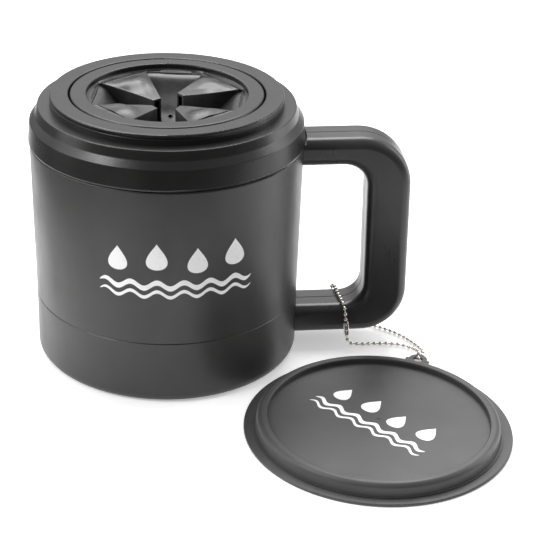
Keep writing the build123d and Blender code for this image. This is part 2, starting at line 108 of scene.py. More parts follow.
class Shape:
    """Points and faces of a mesh being put together."""

    def __init__(self):
        self.points = []
        self.faces = []

    def add(self, points, faces):
        first = len(self.points)
        self.points.extend(points)
        self.faces.extend([tuple(first + i for i in face) for face in faces])

    def tube(self, sections, caps=True):
        """Joins equal closed sections, in order, with walls and two end caps."""
        count = len(sections[0])
        points = [p for section in sections for p in section]
        faces = []
        for row in range(len(sections) - 1):
            for i in range(count):
                j = (i + 1) % count
                a, b = row * count, (row + 1) * count
                faces.append((a + i, a + j, b + j, b + i))
        if caps:
            faces.append(tuple(reversed(range(count))))
            faces.append(tuple(range(len(points) - count, len(points))))
        self.add(points, faces)

    def ball(self, centre, radius, across=14, up=9):
        points = [centre + Vector((0, 0, -radius))]
        for row in range(1, up):
            tilt = math.pi * row / up
            for i in range(across):
                turn = 2 * math.pi * i / across
                points.append(centre + radius * Vector((
                    math.sin(tilt) * math.cos(turn),
                    math.sin(tilt) * math.sin(turn),
                    -math.cos(tilt),
                )))
        points.append(centre + Vector((0, 0, radius)))
        faces = []
        for i in range(across):
            j = (i + 1) % across
            faces.append((0, 1 + j, 1 + i))
            for row in range(up - 2):
                a, b = 1 + row * across, 1 + (row + 1) * across
                faces.append((a + i, a + j, b + j, b + i))
            last = 1 + (up - 2) * across
            faces.append((last + i, last + j, len(points) - 1))
        self.add(points, faces)

    def rod(self, start, end, radius, sides=8, end_radius=None):
        """A straight round bar, flat at both ends."""
        axis = (end - start).normalized()
        side = axis.orthogonal().normalized()
        other = axis.cross(side)
        sections = []
        for centre, r in ((start, radius), (end, radius if end_radius is None else end_radius)):
            sections.append([
                centre + r * (math.cos(a) * side + math.sin(a) * other)
                for a in (2 * math.pi * i / sides for i in range(sides))
            ])
        self.tube(sections)

    def finish(self, name, sharp=40):
        return mesh_object(name, self.points, self.faces, sharp)


def polyline_value(x, knots):
    """The height at x of a line through (x, height) knots, in rising order of x."""
    if x <= knots[0][0]:
        return knots[0][1]
    for (x0, y0), (x1, y1) in zip(knots, knots[1:]):
        if x <= x1:
            return y0 + (y1 - y0) * (x - x0) / (x1 - x0)
    return knots[-1][1]


def smooth_value(x, knots):
    """As polyline_value, but the line bends smoothly at its knots."""
    reach = 1.6 * MM
    steps = 7
    total = 0
    for i in range(steps):
        total += polyline_value(x + reach * (2 * i / (steps - 1) - 1), knots)
    return total / steps


def in_mm(pairs):
    return [(x * MM, y * MM) for x, y in pairs]


def radial_frame(angle):
    """Unit vectors outwards and sideways at this angle about the cup's axis."""
    a = math.radians(angle)
    return Vector((math.cos(a), math.sin(a), 0)), Vector((-math.sin(a), math.cos(a), 0))


# ---------------------------------------------------------------- materials
class Nodes:
    """Short names for building a node material."""

    def __init__(self, name):
        self.material = bpy.data.materials.new(name)
        self.material.use_nodes = True
        self.tree = self.material.node_tree
        self.shader = self.tree.nodes["Principled BSDF"]
        self.coordinates = self.tree.nodes.new("ShaderNodeTexCoord").outputs["Object"]

    def node(self, kind, inputs=(), **settings):
        made = self.tree.nodes.new("ShaderNode" + kind)
        for key, value in settings.items():
            setattr(made, key, value)
        for socket, value in dict(inputs).items():
            if isinstance(value, bpy.types.NodeSocket):
                self.tree.links.new(value, made.inputs[socket])
            else:
                made.inputs[socket].default_value = value
        return made

    def link(self, output, socket):
        self.tree.links.new(output, self.shader.inputs[socket])

    def noise(self, scale, detail=2.0, roughness=0.5, stretch=None):
        place = self.coordinates
        if stretch:
            mapping = self.node("Mapping", {"Vector": place, "Scale": stretch})
            place = mapping.outputs[0]
        made = self.node("TexNoise", {
            "Vector": place, "Scale": scale, "Detail": detail, "Roughness": roughness,
        })
        return made.outputs["Fac"]

    def spread(self, value, low, high, start=0.3, stop=0.7):
        made = self.node("MapRange", {
            "Value": value, "From Min": start, "From Max": stop, "To Min": low, "To Max": high,
        })
        return made.outputs[0]

    def mixed(self, factor, first, second):
        made = self.node("Mix", data_type="RGBA")
        for socket, value in ((0, factor), (6, first), (7, second)):
            if isinstance(value, bpy.types.NodeSocket):
                self.tree.links.new(value, made.inputs[socket])
            else:
                made.inputs[socket].default_value = value
        return made.outputs[2]

    def round_axis(self):
        """Distance from the cup's axis, and height."""
        flat = self.node("VectorMath", {0: self.coordinates, 1: (1, 1, 0)}, operation="MULTIPLY")
        radius = self.node("VectorMath", {0: flat.outputs[0]}, operation="LENGTH")
        height = self.node("SeparateXYZ", {0: self.coordinates})
        return radius.outputs["Value"], height.outputs["Z"]

    def product(self, first, second):
        return self.node("Math", {0: first, 1: second}, operation="MULTIPLY").outputs[0]

    def bump(self, height, distance, strength=1.0, under=None):
        inputs = {"Height": height, "Distance": distance, "Strength": strength}
        if under is not None:
            inputs["Normal"] = under
        return self.node("Bump", inputs).outputs[0]


def rgba(tone, warmth=0.0):
    """A near-black or grey colour; warmth above 0 leans to brown, below 0 to blue."""
    return (tone * (1 + warmth), tone, tone * (1 - warmth), 1)


GRAIN_DEPTH = 0.012 * MM
WORN_EDGES = (0.53, 0.62)     # pointiness at which an edge starts and ends being rubbed paler
RUB = 0.35                    # how far a rubbed edge turns to the paler tone


def moulded_plastic(name, tone, roughness, grain=0.25 * MM, warmth=0.0, turned=0.0, specular=0.5):
    """Moulded plastic: a fine spark grain, faint flow mottling, and lighter rubbed edges.

    turned is the depth of the marks that a turned mould leaves round the cup's axis."""
    n = Nodes(name)
    mottle = n.noise(28, detail=4, roughness=0.6)
    fine = n.noise(1 / grain, detail=1.5)
    smudge = n.noise(55, detail=3, roughness=0.55, stretch=(1, 1, 0.45))
    dark, light = rgba(tone * 0.86, warmth), rgba(tone * 1.16, warmth)
    colour = n.mixed(n.spread(mottle, 0, 1), dark, light)
    edge = n.node("NewGeometry").outputs["Pointiness"]
    paled = n.spread(edge, 0, RUB, *WORN_EDGES)
    colour = n.mixed(paled, colour, rgba(tone * 2.4, warmth))
    n.link(colour, "Base Color")
    n.link(n.spread(smudge, roughness - 0.05, roughness + 0.06), "Roughness")
    n.shader.inputs["Specular IOR Level"].default_value = specular
    waviness = n.bump(n.noise(60, detail=1), 0.03 * MM, 0.5)
    if turned:
        radius, height = n.round_axis()
        profile = n.node("CombineXYZ", {"X": radius, "Y": height})
        marks = n.node("TexNoise", {"Vector": profile.outputs[0], "Scale": 1400.0, "Detail": 3.0})
        waviness = n.bump(marks.outputs["Fac"], turned, 1.0, waviness)
    n.link(n.bump(fine, GRAIN_DEPTH, 1.0, waviness), "Normal")
    return n.material


def lid_plastic():
    """Flexible lid plastic: concentric moulding marks round the gate, and a few dust specks."""
    n = Nodes("lid_plastic")
    mottle = n.noise(24, detail=4, roughness=0.6)
    colour = n.mixed(n.spread(mottle, 0, 1), rgba(0.040), rgba(0.054))
    centred = n.node("VectorMath", {0: n.coordinates, 1: tuple(-LID_CENTRE)}, operation="ADD")
    specks = n.node("TexVoronoi", {"Vector": centred.outputs[0], "Scale": 95.0, "Randomness": 1.0})
    dust = n.spread(specks.outputs["Distance"], 0.5, 0, 0.012, 0.022)
    colour = n.mixed(dust, colour, rgba(0.30))
    edge = n.node("NewGeometry").outputs["Pointiness"]
    colour = n.mixed(n.spread(edge, 0, RUB, *WORN_EDGES), colour, rgba(0.10))
    n.link(colour, "Base Color")
    smudge = n.noise(40, detail=3)
    n.link(n.spread(smudge, 0.38, 0.50), "Roughness")
    rings = n.node("TexWave", {"Vector": centred.outputs[0], "Scale": 300.0, "Distortion": 0.6,
                               "Detail": 1.0}, wave_type="RINGS", rings_direction="Z")
    marks = n.bump(rings.outputs["Fac"], 0.004 * MM, 0.5)
    waviness = n.bump(n.noise(45, detail=1), 0.05 * MM, 0.5, marks)
    n.link(n.bump(n.noise(4200, detail=1.5), 0.010 * MM, 1.0, waviness), "Normal")
    return n.material


WEAR_AND_PAINTED_FILL_R = (9 * MM, 33 * MM)     # distances from the axis between which the paler wear and painted fill light fade
WEAR_AND_PAINTED_FILL_Z = (129 * MM, 142 * MM)  # heights between which it sets in


def rubber(name, tone, roughness, paled=None):
    """Soft moulded rubber: a dull bloom in patches, and a fine grain.

    The last argument is the paler tone that it turns to round the cup's axis, high up: partly wear
    where paws go in, partly painted fill light on petal walls that the lamps leave dark."""
    n = Nodes(name)
    bloom = n.noise(70, detail=5, roughness=0.65)
    dark, light = rgba(tone * 0.7), rgba(tone * 2.0)
    colour = n.mixed(n.spread(bloom, 0, 1, 0.35, 0.68), dark, light)
    if paled:
        # painted fill light: paler near the axis and high up, partly wear, partly standing in for
        # light that does not reach the petal walls
        radius, height = n.round_axis()
        near = n.spread(radius, 1, 0, *WEAR_AND_PAINTED_FILL_R)
        high = n.spread(height, 0, 1, *WEAR_AND_PAINTED_FILL_Z)
        wear_and_fill_mask = n.product(n.product(near, n.spread(bloom, 0.3, 1)), high)
        colour = n.mixed(wear_and_fill_mask, colour, rgba(paled))
    n.link(colour, "Base Color")
    n.link(n.spread(bloom, roughness - 0.07, roughness + 0.08), "Roughness")
    waviness = n.bump(n.noise(120, detail=2), 0.09 * MM, 0.7)
    n.link(n.bump(n.noise(3600, detail=2), 0.014 * MM, 1.0, waviness), "Normal")
    return n.material


def metal(name, tone, warmth, roughness, scale):
    """Plated metal: small changes of polish, fine scratches, and darker tarnish."""
    n = Nodes(name)
    tarnish = n.noise(scale, detail=4, roughness=0.7)
    clean, dull = rgba(tone, warmth), rgba(tone * 0.5, warmth * 1.6)
    colour = n.mixed(n.spread(tarnish, 0, 1, 0.45, 0.75), clean, dull)
    n.link(colour, "Base Color")
    n.shader.inputs["Metallic"].default_value = 1.0
    n.link(n.spread(tarnish, roughness - 0.06, roughness + 0.12), "Roughness")
    scratches = n.noise(scale * 6, detail=2, stretch=(1, 1, 0.15))
    n.link(n.bump(scratches, 0.006 * MM, 0.6), "Normal")
    return n.material


def nylon():
    """Soft translucent bristle nylon."""
    n = Nodes("bristle_nylon")
    shade = n.noise(240, detail=3)
    n.link(n.mixed(n.spread(shade, 0, 1), rgba(0.05), rgba(0.12)), "Base Color")
    n.shader.inputs["Roughness"].default_value = 0.34
    n.shader.inputs["Subsurface Weight"].default_value = 0.12
    n.shader.inputs["Subsurface Radius"].default_value = (0.001, 0.001, 0.001)
    n.link(n.bump(n.noise(5200), 0.01 * MM, 0.6), "Normal")
    return n.material


def print_ink():
    """White pad-printed ink, a little uneven, with the plastic's grain under it."""
    n = Nodes("print_ink")
    cover = n.noise(420, detail=4, roughness=0.7)
    n.link(n.mixed(n.spread(cover, 0, 1, 0.3, 0.42), rgba(0.78), rgba(0.92)), "Base Color")
    n.link(n.spread(n.noise(90), 0.42, 0.56), "Roughness")
    n.link(n.bump(n.noise(3800), 0.012 * MM, 0.8), "Normal")
    return n.material


def set_material(obj, material):
    """Fills the object's own slots, so the mesh that it shares stays as it is."""
    if not obj.material_slots:
        obj.data.materials.append(material)
    for place in obj.material_slots:
        place.link = "OBJECT"
        place.material = material


MATERIALS = {
    "body_plastic": moulded_plastic("body_plastic", 0.026, 0.38, grain=0.22 * MM, warmth=0.02),
    "collar_plastic": moulded_plastic(
        "collar_plastic", 0.012, 0.30, warmth=0.03, turned=0.05 * MM, specular=0.4,
    ),
    "handle_plastic": moulded_plastic("handle_plastic", 0.025, 0.31, grain=0.24 * MM),
    "liner_plastic": moulded_plastic("liner_plastic", 0.022, 0.42, grain=0.5 * MM),
    "strip_plastic": moulded_plastic("strip_plastic", 0.030, 0.45, grain=0.4 * MM),
    "lid_plastic": lid_plastic(),
    # the guard's paler tone round the axis is partly wear and partly painted fill light on the
    # petal walls
    "guard_rubber": rubber("guard_rubber", 0.011, 0.32, paled=0.08),
    "seal_rubber": rubber("seal_rubber", 0.016, 0.52),
    "bristle_nylon": nylon(),
    "screw_steel": metal("screw_steel", 0.55, 0.02, 0.30, 500),
    "chain_metal": metal("chain_metal", 0.74, 0.05, 0.20, 700),
}
INK = print_ink()


# ---------------------------------------------------------------- ball chain
CHAIN_D = 2.4 * MM
BEAD_PITCH = 3.4 * MM
LINK_R = 0.34 * MM
# from the hole in the lid's ear, along the table, to the lower end of the clasp
CHAIN_FRONT = [
    (0.1402, -0.0350, 0.0026),
    (0.1410, -0.0316, 0.0049),
    (0.1412, -0.0274, 0.0030),
    (0.1398, -0.0224, 0.0014),
    (0.1356, -0.0178, 0.0012),
    (0.1284, -0.0155, 0.0012),
    (0.1192, -0.0150, 0.0012),
    (0.1104, -0.0156, 0.0012),
    (0.1044, -0.0152, 0.0013),
    (0.1023, -0.0149, 0.0037),
    (0.10187, -0.0149, 0.0075),
]
# from the upper end of the clasp, over the lower arm, and back along the table
CHAIN_BACK = [
    (0.10084, -0.0149, 0.0165),
    (0.0997, -0.0149, 0.0265),
    (0.0977, -0.0004, 0.0262),
    (0.0962, 0.0150, 0.0265),
    (0.0954, 0.0151, 0.0146),
    (0.0959, 0.0154, 0.0052),
    (0.0989, 0.0156, 0.0013),
    (0.1049, 0.0144, 0.0012),
    (0.1132, 0.0109, 0.0012),
    (0.1206, 0.0065, 0.0012),
    (0.1274, 0.0018, 0.0012),
    (0.1332, -0.0036, 0.0012),
    (0.1377, -0.0094, 0.0012),
    (0.1411, -0.0158, 0.0012),
    (0.1442, -0.0221, 0.0012),
    (0.1448, -0.0266, 0.0012),
    (0.1436, -0.0296, 0.0012),
]
CLASP_ENDS = (Vector(CHAIN_FRONT[-1]), Vector(CHAIN_BACK[0]))
EAR_LINK_Z = 0.4 * MM     # height of the wire that runs under the lid's ear
CLASP_R = 1.6 * MM
CLASP_SHEET = 0.22 * MM
CLASP_SLOT = 38           # degrees, half the open part of the sleeve
CLASP_TAPER = 1.3 * MM    # the ends are drawn in over this length
CLASP_NARROWING = 0.42


def smooth_route(points):
    """Points read along the NURBS spline that these points control."""
    curve = bpy.data.curves.new("chain_route", "CURVE")
    curve.dimensions = "3D"
    spline = curve.splines.new("NURBS")
    spline.points.add(len(points) - 1)
    for place, point in zip(spline.points, points):
        place.co = (*point, 1)
    spline.order_u = 3
    spline.use_endpoint_u = True
    spline.resolution_u = 24
    route = bpy.data.objects.new("chain_route", curve)
    line = bpy.data.meshes.new_from_object(route)
    read = [v.co.copy() for v in line.vertices]
    bpy.data.meshes.remove(line)
    bpy.data.objects.remove(route)
    bpy.data.curves.remove(curve)
    return read


def path_length(path):
    return sum((b - a).length for a, b in zip(path, path[1:]))


def along(path, pitch):
    """Points on the path, this far apart, from its start to its end."""
    total = path_length(path)
    count = round(total / pitch)
    wanted = [total * i / count for i in range(count + 1)]
    found = []
    gone = 0.0
    for a, b in zip(path, path[1:]):
        step = (b - a).length
        while len(found) <= count and wanted[len(found)] <= gone + step + 1e-9:
            found.append(a.lerp(b, (wanted[len(found)] - gone) / step))
        gone += step
    return found


def add_chain():
    path = smooth_route(CHAIN_FRONT + CHAIN_BACK)
    beads = along(path, BEAD_PITCH)
    shape = Shape()
    for bead in beads:
        shape.ball(bead, CHAIN_D / 2)
    for a, b in zip(beads, beads[1:]):
        shape.rod(a, b, LINK_R)
    chain = shape.finish("ball_chain", sharp=60)
    set_material(chain, MATERIALS["chain_metal"])
    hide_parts("chain_front", "chain_back")
    return chain, path, beads


def add_clasp():
    """A rolled sleeve with a slot down its side and drawn-in ends, round the chain's joint."""
    start, end = CLASP_ENDS
    axis = (end - start).normalized()
    front = Vector((0, -1, 0))
    front = (front - front.dot(axis) * axis).normalized()
    side = axis.cross(front)
    length = (end - start).length
    slot = math.radians(CLASP_SLOT)
    rows, columns = 16, 28
    outer, inner = [], []
    for row in range(rows + 1):
        share = row / rows
        from_end = min(share, 1 - share) * length
        drawn = 1 - CLASP_NARROWING * max(0.0, 1 - from_end / CLASP_TAPER) ** 2
        for column in range(columns + 1):
            turn = slot + (2 * math.pi - 2 * slot) * column / columns
            out = math.cos(turn) * front + math.sin(turn) * side
            centre = start + share * (end - start)
            outer.append(centre + CLASP_R * drawn * out)
            inner.append(centre + (CLASP_R * drawn - CLASP_SHEET) * out)
    count = len(outer)
    faces = []
    for row in range(rows):
        for column in range(columns):
            a = row * (columns + 1) + column
            b = a + columns + 1
            faces.append((a, b, b + 1, a + 1))
            faces.append((count + a, count + a + 1, count + b + 1, count + b))
    for row in range(rows):
        for a in (row * (columns + 1), row * (columns + 1) + columns):
            b = a + columns + 1
            flip = a % (columns + 1) == 0
            faces.append((a, count + a, count + b, b) if flip else (a, b, count + b, count + a))
    last = rows * (columns + 1)
    for a in list(range(columns)) + list(range(last, last + columns)):
        flip = a < columns
        faces.append((a, a + 1, count + a + 1, count + a) if flip
                     else (a, count + a, count + a + 1, a + 1))
    clasp = mesh_object("chain_clasp_sleeve", outer + inner, faces, sharp=50)
    set_material(clasp, MATERIALS["chain_metal"])
    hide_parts("chain_clasp")
    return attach(clasp, "cup")


def add_ear_link(first, last):
    """The short wire that closes the loop, under the margin of the lid's ear."""
    inside = Vector((first.x, first.y, EAR_LINK_Z))
    under = Vector((last.x, last.y, EAR_LINK_Z)).lerp(inside, 0.35)
    path = [last, under, inside.lerp(under, 0.25), inside + Vector((0, 0, 0.3 * MM)), first]
    shape = Shape()
    for a, b in zip(path, path[1:]):
        shape.rod(a, b, LINK_R * 0.95)
        shape.ball(b, LINK_R * 0.95, across=8, up=6)
    link = shape.finish("chain_ear_link", sharp=60)
    set_material(link, MATERIALS["chain_metal"])
    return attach(link, "lid")


# ---------------------------------------------------------------- splash guard
PETAL_ROOT = 36.5 * MM
PETAL_TIP = 8.8 * MM
PETAL_INSET, PETAL_ROOT_INSET = 0.95 * MM, 0.40 * MM
PETAL_ROOT_Z = 147.0 * MM
PETAL_TIP_Z = 143.4 * MM
PETAL_BULGE = 2.5 * MM
PETAL_RIDGE = 0.72        # share of the way from tip to root at which a petal bulges most
PETAL_RIDGE_WIDTH = 0.22
PETAL_EDGE_R = 0.42 * MM
PETAL_CREASE = 0.16 * MM
PETAL_STEPS = 30
PETAL_TIP_LIFTS = {1: 2.9, 2: -0.5, 3: 0.0, 4: 0.2}     # millimetres: no two tips lie alike
PETAL_TIP_SKEWS = {1: 0.0, 2: 0.0, 3: 0.1, 4: -0.45}
FLAP_ROOT = 39.0 * MM
FLAP_INSET = -0.25 * MM
FLAP_TOP = in_mm([(6.8, 125.2), (18, 131.2), (28, 138.2), (35.4, 145.0), (39, 146.2)])
TONGUE_Z = 112.0 * MM
TONGUE_HALF = 3.4 * MM
TONGUE_FACE = 6.8 * MM
TONGUE_START = 8.8 * MM
FLAP_STEPS, FOLD_STEPS, TONGUE_STEPS = 30, 6, 10
TONGUE_END = {9: 0.9, 10: 0.66}      # shares of its width that the tongue keeps at its last steps
FLAP_DISH = 0.5 * MM
FLAP_RIM = 0.86           # share of a flap's half width at which its rounded edge starts
FLAP_RIM_DROP = 0.2 * MM
RUBBER_T = 1.15 * MM
WEB_LAP = 0.45 * MM       # the web runs in under the pieces that hang from it
DRAIN_AT = 15.6 * MM
DRAIN_R = 1.15 * MM
LIP_R, LIP_OFFSET = 0.24 * MM, 0.16 * MM
WEB_LOW_Z, WEB_HIGH_Z = 146.3 * MM, 147.05 * MM   # the web's inner edge, at a flap and at a petal
WEB_OUTER_Z, WEB_SLOPE_Z, WEB_UNDER_Z = 147.4 * MM, 146.9 * MM, 144.6 * MM
WEB_DIP = 0.35 * MM


def half_width(distance, inset):
    return distance * math.tan(math.radians(SECTOR / 2)) - inset


def petal_section(distance, number):
    """Closed section of a raised petal, seen along it: a pillowed top and two side walls."""
    share = (distance - PETAL_TIP) / (PETAL_ROOT - PETAL_TIP)
    half = half_width(distance, PETAL_INSET + (PETAL_ROOT_INSET - PETAL_INSET) * share)
    lift = PETAL_TIP_LIFTS[number] * MM * (1 - share) ** 1.6
    edge = PETAL_TIP_Z + lift + (PETAL_ROOT_Z - PETAL_TIP_Z) * share ** 0.9
    ridge = PETAL_RIDGE + 0.04 * math.sin(number * 2.1)
    bulge = PETAL_BULGE * math.exp(-(((share - ridge) / PETAL_RIDGE_WIDTH) ** 2))
    bottom = min(HINGE_Z, polyline_value(distance, FLAP_TOP) - 1.4 * MM)
    corner = PETAL_EDGE_R
    outer = [(-half, bottom)]
    for step in range(1, 5):
        outer.append((-half, bottom + (edge - corner - bottom) * step / 4))
    for step in (1, 2):
        turn = math.radians(30 * step)
        outer.append((-half + corner * (1 - math.cos(turn)), edge - corner * (1 - math.sin(turn))))
    across = 20
    flat = half - corner
    for step in range(across + 1):
        side = -1 + 2 * step / across
        swell = bulge * (1 - abs(side) ** 2.4) * (1 + 0.18 * side * math.sin(number * 1.3))
        crease = PETAL_CREASE * math.sin(7 * side + 11 * share + number) * (1 - side * side) * share
        outer.append((side * flat, edge + swell + crease))
    mirrored = [(-y, z) for y, z in outer[:7]]
    outer.extend(reversed(mirrored))
    inner = []
    for y, z in reversed(outer):
        inner_y = max(-half + RUBBER_T, min(half - RUBBER_T, y))
        inner.append((inner_y, max(bottom, z - RUBBER_T)))
    return outer + inner


def root_blend(piece):
    """Bakes the piece's placement into its mesh."""
    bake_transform(piece)


def add_petal(number):
    out, side = radial_frame(GUARD_TWIST + SECTOR + (number - 1) * 90)
    sections = []
    for step in range(PETAL_STEPS + 1):
        distance = PETAL_ROOT + (PETAL_TIP - PETAL_ROOT) * step / PETAL_STEPS
        skew = PETAL_TIP_SKEWS[number] * (step / PETAL_STEPS) ** 3
        section = petal_section(distance, number)
        sections.append([
            (distance + skew * y) * out + y * side + Vector((0, 0, z)) for y, z in section
        ])
    shape = Shape()
    shape.tube(sections)
    petal = shape.finish(f"petal_{number}_rubber", sharp=50)
    set_material(petal, MATERIALS["guard_rubber"])
    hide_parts(f"petal_{number}")
    root_blend(petal)


def flap_centreline():
    """(distance, height, half width) down a low flap and its tongue."""
    root_half = half_width(FLAP_ROOT, FLAP_INSET)
    stations = []
    for step in range(FLAP_STEPS + 1):
        distance = FLAP_ROOT + (TONGUE_START - FLAP_ROOT) * step / FLAP_STEPS
        share = (distance - TONGUE_START) / (FLAP_ROOT - TONGUE_START)
        half = TONGUE_HALF + (root_half - TONGUE_HALF) * share
        stations.append((distance, smooth_value(distance, FLAP_TOP), half))
    fold = TONGUE_START - TONGUE_FACE
    top = stations[-1][1]
    for step in range(1, FOLD_STEPS + 1):
        turn = math.pi / 2 * step / FOLD_STEPS
        z = top - fold * (0.5 * step / FOLD_STEPS + 1 - math.cos(turn))
        stations.append((TONGUE_START - fold * math.sin(turn), z, TONGUE_HALF))
    top = stations[-1][1]
    for step in range(1, TONGUE_STEPS + 1):
        z = top + (TONGUE_Z + 0.2 * MM - top) * step / TONGUE_STEPS
        half = TONGUE_HALF * TONGUE_END.get(step, 1)
        stations.append((TONGUE_FACE, z, half))
    return stations


def flap_section(distance, z, half, under, out, side):
    """Closed section across a flap, slightly dished, with rounded edges."""
    across = 14
    dish = FLAP_DISH * min(1, half / (12 * MM))
    top, bottom = [], []
    for step in range(across + 1):
        share = -1 + 2 * step / across
        rim = max(0, abs(share) - FLAP_RIM) / (1 - FLAP_RIM)
        lift = dish * (share * share - 1) - FLAP_RIM_DROP * rim
        base = distance * out + share * half * side + Vector((0, 0, z + lift))
        top.append(base)
        down = under.x * out + Vector((0, 0, under.y))
        bottom.append(base + RUBBER_T * (1 - 0.35 * rim) * down)
    return top + list(reversed(bottom))


def add_flap(number):
    """A low flap: it slopes in from its root, has a drain hole, and ends in a hanging tongue."""
    out, side = radial_frame(GUARD_TWIST + (number - 1) * 90)
    stations = flap_centreline()
    sections = []
    for index, (distance, z, half) in enumerate(stations):
        before = stations[max(0, index - 1)]
        after = stations[min(len(stations) - 1, index + 1)]
        run, rise = after[0] - before[0], after[1] - before[1]
        size = math.hypot(run, rise)
        under = Vector((-rise / size, run / size))
        sections.append(flap_section(distance, z, half, under, out, side))
    shape = Shape()
    shape.tube(sections)
    flap = shape.finish(f"flap_{number}_rubber", sharp=50)
    drain = DRAIN_AT * out + Vector((0, 0, smooth_value(DRAIN_AT, FLAP_TOP) - 0.42 * MM))
    slope = (FLAP_TOP[1][1] - FLAP_TOP[0][1]) / (FLAP_TOP[1][0] - FLAP_TOP[0][0])
    normal = (Vector((0, 0, 1)) - slope * out).normalized()
    bore_hole(flap, drain, normal, DRAIN_R)
    set_material(flap, MATERIALS["guard_rubber"])
    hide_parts(f"flap_{number}")
    root_blend(flap)
    lip = add_lip(f"flap_{number}_drain_lip", drain + 0.1 * MM * normal, normal)
    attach(lip, f"flap_{number}")


def bore_hole(piece, centre, normal, radius):
    """Cuts a round hole through a thin piece."""
    shape = Shape()
    shape.rod(centre - 4 * MM * normal, centre + 4 * MM * normal, radius, sides=24)
    cutter = shape.finish("cutter")
    cut = piece.modifiers.new("hole", "BOOLEAN")
    cut.object = cutter
    cut.operation = "DIFFERENCE"
    bpy.context.view_layer.update()
    evaluated = piece.evaluated_get(bpy.context.evaluated_depsgraph_get())
    result = bpy.data.meshes.new_from_object(evaluated)
    piece.modifiers.clear()
    piece.data = result
    result.set_sharp_from_angle(angle=math.radians(50))
    bpy.data.objects.remove(cutter)


def add_lip(name, centre, normal):
    """The rolled lip round a drain hole."""
    u = normal.orthogonal().normalized()
    v = normal.cross(u)
    around, ring = 28, 10
    points, faces = [], []
    for i in range(around):
        turn = 2 * math.pi * i / around
        out = math.cos(turn) * u + math.sin(turn) * v
        for j in range(ring):
            roll = 2 * math.pi * j / ring
            reach = DRAIN_R + LIP_OFFSET + LIP_R * math.cos(roll)
            points.append(centre + reach * out + LIP_R * math.sin(roll) * normal)
    for i in range(around):
        for j in range(ring):
            k, m = (i + 1) % around, (j + 1) % ring
            faces.append((i * ring + j, k * ring + j, k * ring + m, i * ring + m))
    lip = mesh_object(name, points, faces)
    set_material(lip, MATERIALS["guard_rubber"])
    return lip


def web_root(angle):
    """Distance from the axis to the web's inner edge, and its height there, at this angle."""
    turned = (angle - GUARD_TWIST) % 90
    off = turned if turned < 45 else turned - 90
    low = abs(off) < SECTOR / 2
    off_centre = off if low else (turned - 45)
    root, z = (FLAP_ROOT, WEB_LOW_Z) if low else (PETAL_ROOT, WEB_HIGH_Z)
    return (root + 0.12 * MM) / math.cos(math.radians(off_centre)), z


def add_guard_web():
    """The dished rubber ring between the hard frame and the roots of the flaps."""
    edge_angles = [GUARD_TWIST + SECTOR / 2 + 45 * i for i in range(8)]
    angles = sorted(
        [360 * i / 120 for i in range(120)]
        + [(e + d) % 360 for e in edge_angles for d in (-0.35, 0.35)]
    )
    shape = Shape()
    sections = []
    for angle in angles:
        out, _ = radial_frame(angle)
        root, z = web_root(angle)
        profile = [
            (GUARD_IN_R, WEB_OUTER_Z),
            (0.8 * GUARD_IN_R + 0.2 * root, WEB_SLOPE_Z),
            (0.5 * GUARD_IN_R + 0.5 * root, z + 0.1 * MM - WEB_DIP),
            (0.2 * GUARD_IN_R + 0.8 * root, z - 0.1 * MM),
            (root + 0.55 * MM, z + 0.18 * MM),
            (root + 0.2 * MM, z + 0.12 * MM),
            (root - 0.1 * MM, z - 0.3 * MM),
            (root - WEB_LAP, z - 0.8 * MM),
            (root - WEB_LAP, WEB_UNDER_Z),
            (0.3 * GUARD_IN_R + 0.7 * root, HINGE_Z),
            (GUARD_IN_R, HINGE_Z),
        ]
        sections.append([r * out + Vector((0, 0, height)) for r, height in profile])
    shape.tube(sections + sections[:1], caps=False)
    web = shape.finish("guard_web_rubber", sharp=50)
    set_material(web, MATERIALS["guard_rubber"])
    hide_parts("guard_web")
    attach(web, "splash_guard")


# ---------------------------------------------------------------- bristles
def add_bristles(number, draw):
    """Tufts of fine filaments, which splay a little towards their ends."""
    angle = 45 + (number - 1) * 90
    out, side = radial_frame(angle)
    shape = Shape()
    for row in range(TUFT_ROWS):
        for column in range(TUFT_COLUMNS):
            across = (column - 0.5) * TUFT_PITCH[0]
            height = STRIP_MIDDLE_Z + (row - (TUFT_ROWS - 1) / 2) * TUFT_PITCH[1]
            foot = STRIP_FACE * out + across * side + Vector((0, 0, height))
            lean = draw.uniform(-0.05, 0.05) * side + Vector((0, 0, draw.uniform(-0.08, 0.02)))
            for ring, filaments in ((0.0, 1), (0.45, 6), (0.85, 11)):
                for i in range(filaments):
                    turn = 2 * math.pi * (i + draw.random() * 0.4) / filaments
                    spread = math.cos(turn) * side + math.sin(turn) * Vector((0, 0, 1))
                    start = foot + ring * TUFT_R * 0.8 * spread
                    length = TUFT_LENGTH * draw.uniform(0.9, 0.995)
                    end = start - length * out + length * (lean + 0.045 * ring * spread)
                    middle = start.lerp(end, 0.5) - 0.3 * MM * Vector((0, 0, 1))
                    shape.rod(start, middle, FILAMENT_R, sides=5)
                    shape.rod(middle, end, FILAMENT_R, sides=5, end_radius=FILAMENT_TIP_R)
    tufts = shape.finish(f"bristle_filaments_{number}", sharp=80)
    set_material(tufts, MATERIALS["bristle_nylon"])
    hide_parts(f"bristle_tufts_{number}")
    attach(tufts, "cup")


# ---------------------------------------------------------------- printed decoration
INK_T = 0.05 * MM         # the print stands this far out of the surface, and lies as deep in it
# x, y and height of each drop, in millimetres
DROPS = ((-31, 9.5, 14), (-10.5, 11.5, 15), (10.5, 9.0, 14.5), (31, 11.0, 15))
DROP_STEPS = 28
# y and thickness of each wavy line, in millimetres
WAVES = ((-5.0, 3.0), (-10.2, 2.0))
WAVE_WIDTH, WAVE_HEIGHT, WAVE_COUNT = 83 * MM, 1.7 * MM, 6.0
WAVE_STEPS = 96


def drop_outline(size):
    """A water drop, point up, as tall as size."""
    points = []
    for i in range(DROP_STEPS):
        t = 2 * math.pi * i / DROP_STEPS
        width = 0.52 * size * math.sin(t / 2) ** 1.4
        points.append((width * math.sin(t), 0.5 * size * math.cos(t)))
    return points


